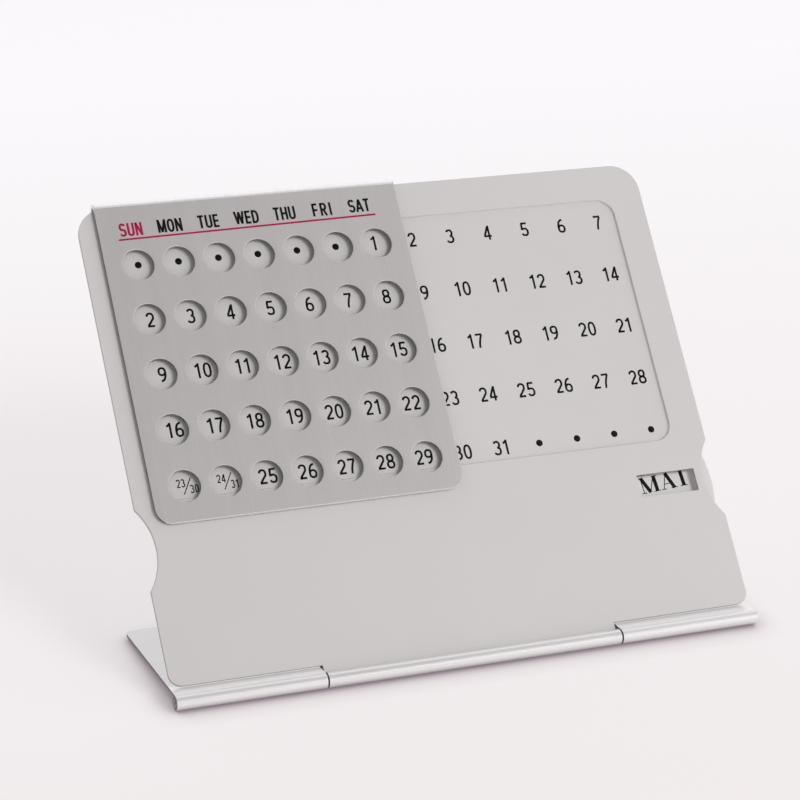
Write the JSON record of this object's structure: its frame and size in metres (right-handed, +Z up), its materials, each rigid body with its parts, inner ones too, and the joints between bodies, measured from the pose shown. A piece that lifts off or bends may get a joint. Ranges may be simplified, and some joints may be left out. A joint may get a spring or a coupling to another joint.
{
  "type": "perpetual desk calendar",
  "caption": "Leaning sheet-metal desk calendar with a rolled hinge, a sliding weekday frame over a pressed date field and a turning month wheel.",
  "frame": {"origin": "on the desk, below the middle of the object's outline seen from above", "axes": "+X along the hinge to the reader's right, +Y away from the reader, +Z up; the printed face looks towards -Y and leans back"},
  "size_m": [0.146, 0.0838, 0.0926],
  "materials": {
    "panel_aluminium": "satin anodised",
    "slider_aluminium": "brushed and anodised",
    "base_steel": "satin plated",
    "pin_steel": "drawn bright",
    "wheel_plastic": "matt grey, printed",
    "spacer_plastic": "natural nylon",
    "pad_rubber": "matt foam rubber"
  },
  "bodies": {
    "base": {"base_plate": "base_steel", "pad_left": "pad_rubber", "pad_right": "pad_rubber", "hinge_pin": "pin_steel"},
    "panel": {"front_panel": "panel_aluminium", "wheel_stud": "pin_steel", "wheel_spacer": "spacer_plastic", "wheel_spring": "pin_steel", "wheel_clip": "pin_steel"},
    "wheel": {"month_wheel": "wheel_plastic"},
    "slider": {"date_slider": "slider_aluminium"}
  },
  "joints": [
    {"name": "panel_hinge", "type": "hinge", "parent": "base", "child": "panel", "pos_m": [0, -0.04006, 0.0018], "axis": [1, 0, 0], "range_deg": [0, 308]},
    {"name": "date_slide", "type": "slide", "parent": "panel", "child": "slider", "axis": [1, 0, 0], "range_m": [0, 0.06]},
    {"name": "wheel_turn", "type": "hinge", "parent": "panel", "child": "wheel", "pos_m": [0.0469, -0.01343, 0.02646], "axis": [0, -0.7508, 0.6606], "continuous": true}
  ]
}
